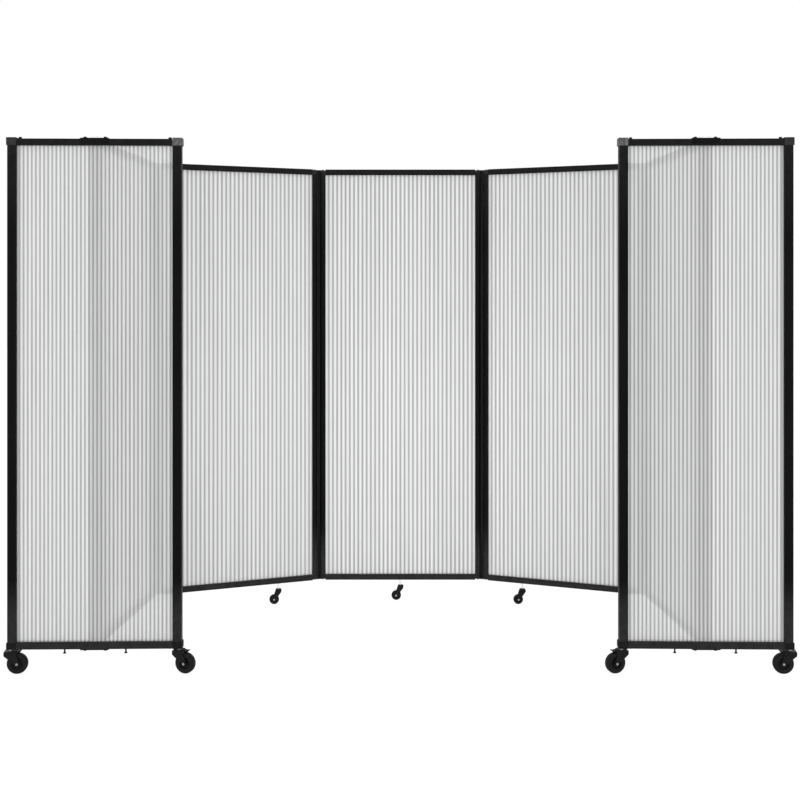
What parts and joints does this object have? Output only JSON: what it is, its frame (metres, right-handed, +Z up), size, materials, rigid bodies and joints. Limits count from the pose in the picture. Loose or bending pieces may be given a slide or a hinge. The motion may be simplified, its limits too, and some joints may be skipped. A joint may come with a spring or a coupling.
{
  "type": "polycarbonate partition",
  "caption": "Free-standing folding room divider on castors: hinged panels of fluted translucent sheet in black metal frames, with a pivoting end panel across each tip.",
  "frame": {"origin": "middle of the whole object's box, on the floor", "axes": "+X along the centre panel to the right, +Y away from the open side, +Z up"},
  "size_m": [3.3782, 1.2762, 2.2904],
  "materials": {
    "black_frame": "satin powder coat on extruded profiles",
    "opal_sheet": "translucent opal, fluted",
    "cap_plastic": "moulded",
    "corner_plastic": "moulded",
    "hinge_black": "extruded strip",
    "hinge_metal": "dark plated",
    "zinc": "zinc plated",
    "bracket_black": "satin powder coat",
    "fastener_black": "blackened",
    "peg_black": "moulded",
    "fork_black": "satin",
    "brake_black": "moulded",
    "wheel_rubber": "rubber tread on a moulded core"
  },
  "bodies": {
    "centre_panel": {"centre_frame": "black_frame", "centre_sheet": "opal_sheet", "centre_caps": "cap_plastic", "centre_castor_stem": "zinc"},
    "left_inner_link": {"left_inner_hinge_spine": "hinge_black", "left_inner_hinge_plates": "hinge_metal"},
    "left_back_panel": {"left_back_frame": "black_frame", "left_back_sheet": "opal_sheet", "left_back_caps": "cap_plastic", "left_castor_stem": "zinc"},
    "left_outer_link": {"left_outer_hinge_spine": "hinge_black", "left_outer_hinge_plates": "hinge_metal"},
    "left_side_panel": {"left_side_frame": "black_frame", "left_side_sheet": "opal_sheet", "left_side_caps": "cap_plastic"},
    "left_end_panel": {"left_end_frame": "black_frame", "left_end_sheet": "opal_sheet", "left_end_corners": "corner_plastic", "left_end_brackets": "bracket_black", "left_end_pivots": "zinc", "left_end_fasteners": "fastener_black", "left_end_pegs": "peg_black", "left_end_castor_stems": "zinc"},
    "right_inner_link": {"right_inner_hinge_spine": "hinge_black", "right_inner_hinge_plates": "hinge_metal"},
    "right_back_panel": {"right_back_frame": "black_frame", "right_back_sheet": "opal_sheet", "right_back_caps": "cap_plastic", "right_castor_stem": "zinc"},
    "right_outer_link": {"right_outer_hinge_spine": "hinge_black", "right_outer_hinge_plates": "hinge_metal"},
    "right_side_panel": {"right_side_frame": "black_frame", "right_side_sheet": "opal_sheet", "right_side_caps": "cap_plastic"},
    "right_end_panel": {"right_end_frame": "black_frame", "right_end_sheet": "opal_sheet", "right_end_corners": "corner_plastic", "right_end_brackets": "bracket_black", "right_end_pivots": "zinc", "right_end_fasteners": "fastener_black", "right_end_pegs": "peg_black", "right_end_castor_stems": "zinc"},
    "centre_castor_swivel": {"centre_castor_fork": "fork_black"},
    "centre_castor_roller": {"centre_castor_wheel": "wheel_rubber"},
    "left_castor_swivel": {"left_castor_fork": "fork_black"},
    "left_castor_roller": {"left_castor_wheel": "wheel_rubber"},
    "left_outside_castor_swivel": {"left_outside_castor_fork": "fork_black"},
    "left_outside_castor_roller": {"left_outside_castor_wheel": "wheel_rubber"},
    "left_outside_castor_pedal": {"left_outside_castor_brake": "brake_black"},
    "left_inside_castor_swivel": {"left_inside_castor_fork": "fork_black"},
    "left_inside_castor_roller": {"left_inside_castor_wheel": "wheel_rubber"},
    "left_inside_castor_pedal": {"left_inside_castor_brake": "brake_black"},
    "right_castor_swivel": {"right_castor_fork": "fork_black"},
    "right_castor_roller": {"right_castor_wheel": "wheel_rubber"},
    "right_outside_castor_swivel": {"right_outside_castor_fork": "fork_black"},
    "right_outside_castor_roller": {"right_outside_castor_wheel": "wheel_rubber"},
    "right_outside_castor_pedal": {"right_outside_castor_brake": "brake_black"},
    "right_inside_castor_swivel": {"right_inside_castor_fork": "fork_black"},
    "right_inside_castor_roller": {"right_inside_castor_wheel": "wheel_rubber"},
    "right_inside_castor_pedal": {"right_inside_castor_brake": "brake_black"}
  },
  "joints": [
    {"name": "left_centre_pivot", "type": "hinge", "parent": "centre_panel", "child": "left_inner_link", "pos_m": [-0.41, 0.6204, 1.193], "axis": [0, 0, 1], "range_deg": [-101.1, 78.9]},
    {"name": "left_back_pivot", "type": "hinge", "parent": "left_inner_link", "child": "left_back_panel", "pos_m": [-0.45416, 0.61174, 1.193], "axis": [0, 0, 1], "range_deg": [-101.1, 78.9]},
    {"name": "left_outer_pivot", "type": "hinge", "parent": "left_back_panel", "child": "left_outer_link", "pos_m": [-1.21337, 0.30191, 1.193], "axis": [0, 0, -1], "range_deg": [-58.33, 121.67]},
    {"name": "left_side_pivot", "type": "hinge", "parent": "left_outer_link", "child": "left_side_panel", "pos_m": [-1.2399, 0.26556, 1.193], "axis": [0, 0, -1], "range_deg": [-58.33, 121.67]},
    {"name": "left_end_turn", "type": "hinge", "parent": "left_side_panel", "child": "left_end_panel", "pos_m": [-1.30353, -0.55197, 1.193], "axis": [0, 0, 1], "range_deg": [-95.75, 84.25]},
    {"name": "right_centre_pivot", "type": "hinge", "parent": "centre_panel", "child": "right_inner_link", "pos_m": [0.41, 0.6204, 1.193], "axis": [0, 0, 1], "range_deg": [-78.9, 101.1]},
    {"name": "right_back_pivot", "type": "hinge", "parent": "right_inner_link", "child": "right_back_panel", "pos_m": [0.45416, 0.61174, 1.193], "axis": [0, 0, 1], "range_deg": [-78.9, 101.1]},
    {"name": "right_outer_pivot", "type": "hinge", "parent": "right_back_panel", "child": "right_outer_link", "pos_m": [1.21337, 0.30191, 1.193], "axis": [0, 0, -1], "range_deg": [-121.67, 58.33]},
    {"name": "right_side_pivot", "type": "hinge", "parent": "right_outer_link", "child": "right_side_panel", "pos_m": [1.2399, 0.26556, 1.193], "axis": [0, 0, -1], "range_deg": [-121.67, 58.33]},
    {"name": "right_end_turn", "type": "hinge", "parent": "right_side_panel", "child": "right_end_panel", "pos_m": [1.30353, -0.55197, 1.193], "axis": [0, 0, 1], "range_deg": [-84.25, 95.75]},
    {"name": "centre_castor_swivel", "type": "hinge", "parent": "centre_panel", "child": "centre_castor_swivel", "pos_m": [0, 0.6204, 0.1065], "axis": [0, 0, 1], "continuous": true},
    {"name": "centre_castor_roll", "type": "hinge", "parent": "centre_castor_swivel", "child": "centre_castor_roller", "pos_m": [-0.02145, 0.6219, 0.025], "axis": [-0.0698, -0.9976, 0], "continuous": true},
    {"name": "left_castor_swivel", "type": "hinge", "parent": "left_back_panel", "child": "left_castor_swivel", "pos_m": [-0.63748, 0.53693, 0.1065], "axis": [0, 0, 1], "continuous": true},
    {"name": "left_castor_roll", "type": "hinge", "parent": "left_castor_swivel", "child": "left_castor_roller", "pos_m": [-0.65893, 0.53543, 0.025], "axis": [0.0698, -0.9976, 0], "continuous": true},
    {"name": "left_outside_castor_swivel", "type": "hinge", "parent": "left_end_panel", "child": "left_outside_castor_swivel", "pos_m": [-1.6604, -0.61208, 0.1065], "axis": [0, 0, 1], "continuous": true},
    {"name": "left_outside_castor_roll", "type": "hinge", "parent": "left_outside_castor_swivel", "child": "left_outside_castor_roller", "pos_m": [-1.63256, -0.60915, 0.044], "axis": [-0.1045, 0.9945, 0], "continuous": true},
    {"name": "left_outside_castor_brake", "type": "hinge", "parent": "left_outside_castor_swivel", "child": "left_outside_castor_pedal", "pos_m": [-1.63554, -0.60947, 0.0919], "axis": [-0.1045, 0.9945, 0], "range_deg": [0, 12]},
    {"name": "left_inside_castor_swivel", "type": "hinge", "parent": "left_end_panel", "child": "left_inside_castor_swivel", "pos_m": [-0.94429, -0.59583, 0.1065], "axis": [0, 0, 1], "continuous": true},
    {"name": "left_inside_castor_roll", "type": "hinge", "parent": "left_inside_castor_swivel", "child": "left_inside_castor_roller", "pos_m": [-0.91737, -0.60355, 0.044], "axis": [0.2756, 0.9613, 0], "continuous": true},
    {"name": "left_inside_castor_brake", "type": "hinge", "parent": "left_inside_castor_swivel", "child": "left_inside_castor_pedal", "pos_m": [-0.92026, -0.60272, 0.0919], "axis": [0.2756, 0.9613, 0], "range_deg": [0, 12]},
    {"name": "right_castor_swivel", "type": "hinge", "parent": "right_back_panel", "child": "right_castor_swivel", "pos_m": [0.63748, 0.53693, 0.1065], "axis": [0, 0, 1], "continuous": true},
    {"name": "right_castor_roll", "type": "hinge", "parent": "right_castor_swivel", "child": "right_castor_roller", "pos_m": [0.61603, 0.53543, 0.025], "axis": [0.0698, -0.9976, 0], "continuous": true},
    {"name": "right_outside_castor_swivel", "type": "hinge", "parent": "right_end_panel", "child": "right_outside_castor_swivel", "pos_m": [1.6604, -0.61208, 0.1065], "axis": [0, 0, 1], "continuous": true},
    {"name": "right_outside_castor_roll", "type": "hinge", "parent": "right_outside_castor_swivel", "child": "right_outside_castor_roller", "pos_m": [1.63256, -0.60915, 0.044], "axis": [-0.1045, -0.9945, 0], "continuous": true},
    {"name": "right_outside_castor_brake", "type": "hinge", "parent": "right_outside_castor_swivel", "child": "right_outside_castor_pedal", "pos_m": [1.63554, -0.60947, 0.0919], "axis": [-0.1045, -0.9945, 0], "range_deg": [0, 12]},
    {"name": "right_inside_castor_swivel", "type": "hinge", "parent": "right_end_panel", "child": "right_inside_castor_swivel", "pos_m": [0.94429, -0.59583, 0.1065], "axis": [0, 0, 1], "continuous": true},
    {"name": "right_inside_castor_roll", "type": "hinge", "parent": "right_inside_castor_swivel", "child": "right_inside_castor_roller", "pos_m": [0.91737, -0.60355, 0.044], "axis": [0.2756, -0.9613, 0], "continuous": true},
    {"name": "right_inside_castor_brake", "type": "hinge", "parent": "right_inside_castor_swivel", "child": "right_inside_castor_pedal", "pos_m": [0.92026, -0.60272, 0.0919], "axis": [0.2756, -0.9613, 0], "range_deg": [0, 12]}
  ]
}
